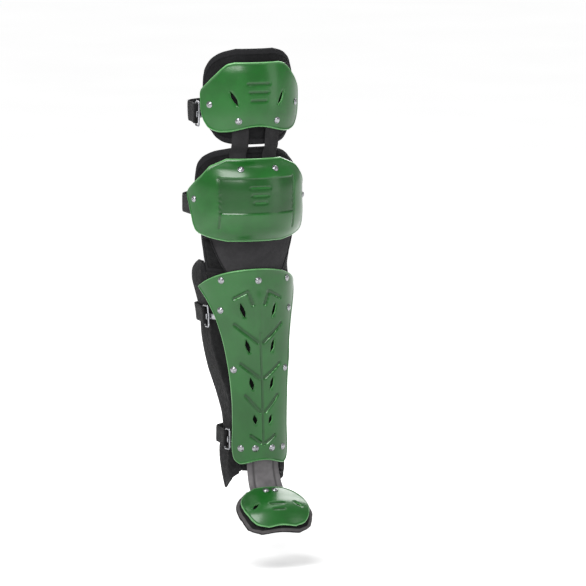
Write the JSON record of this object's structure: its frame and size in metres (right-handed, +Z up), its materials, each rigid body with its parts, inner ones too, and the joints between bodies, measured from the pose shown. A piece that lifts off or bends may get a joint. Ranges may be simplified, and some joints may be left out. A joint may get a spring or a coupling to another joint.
{
  "type": "catcher leg guard",
  "caption": "Leg guard with thigh, knee, shin and toe plates of moulded plastic over black padding, open behind and closed by webbing straps with wire hooks.",
  "frame": {"origin": "inner face of the knee pad at its middle, at the height of the kneecap, where the guard sits against the knee", "axes": "+Z up the leg, the front of the guard towards -Y, the leg behind it towards +Y, +X to the right seen from the front"},
  "size_m": [0.1894, 0.2012, 0.7573],
  "materials": {
    "green_plastic": "glossy moulded green",
    "black_padding": "black nylon over foam",
    "grey_cloth": "dark grey textured cloth",
    "charcoal_webbing": "dark grey webbing",
    "black_webbing": "black elastic webbing",
    "grey_strap": "mid-grey ribbed strap",
    "grey_foam": "dark grey foam with a black binding",
    "bright_steel": "bright plated steel"
  },
  "bodies": {
    "root": {"thigh_plate": "green_plastic", "knee_plate": "green_plastic", "shin_plate": "green_plastic", "toe_plate": "green_plastic", "thigh_pad": "black_padding", "knee_pad": "black_padding", "bridge_pad": "black_padding", "shin_pad": "black_padding", "calf_wing_left": "black_padding", "calf_wing_right": "black_padding", "ankle_wing_left": "black_padding", "ankle_wing_right": "black_padding", "bridge_panel": "grey_cloth", "link_tab_left": "charcoal_webbing", "link_tab_right": "charcoal_webbing", "thigh_strap": "black_webbing", "knee_strap": "black_webbing", "calf_strap": "black_webbing", "ankle_strap": "black_webbing", "instep_strap": "grey_strap", "toe_pad": "grey_foam", "thigh_rivet_1_left": "bright_steel", "thigh_rivet_1_right": "bright_steel", "thigh_rivet_2_left": "bright_steel", "thigh_rivet_2_right": "bright_steel", "knee_rivet_1_left": "bright_steel", "knee_rivet_1_right": "bright_steel", "knee_rivet_2_left": "bright_steel", "knee_rivet_2_right": "bright_steel", "shin_rivet_1_middle": "bright_steel", "shin_rivet_2_left": "bright_steel", "shin_rivet_2_right": "bright_steel", "shin_rivet_3_left": "bright_steel", "shin_rivet_3_right": "bright_steel", "shin_rivet_4_left": "bright_steel", "shin_rivet_4_right": "bright_steel", "shin_rivet_5_left": "bright_steel", "shin_rivet_5_right": "bright_steel", "shin_rivet_6_left": "bright_steel", "shin_rivet_6_right": "bright_steel", "toe_rivet_1_left": "bright_steel", "toe_rivet_1_right": "bright_steel", "thigh_loop": "bright_steel", "thigh_hook": "bright_steel", "calf_loop": "bright_steel", "calf_hook": "bright_steel", "ankle_loop": "bright_steel", "ankle_hook": "bright_steel"}
  },
  "joints": []
}
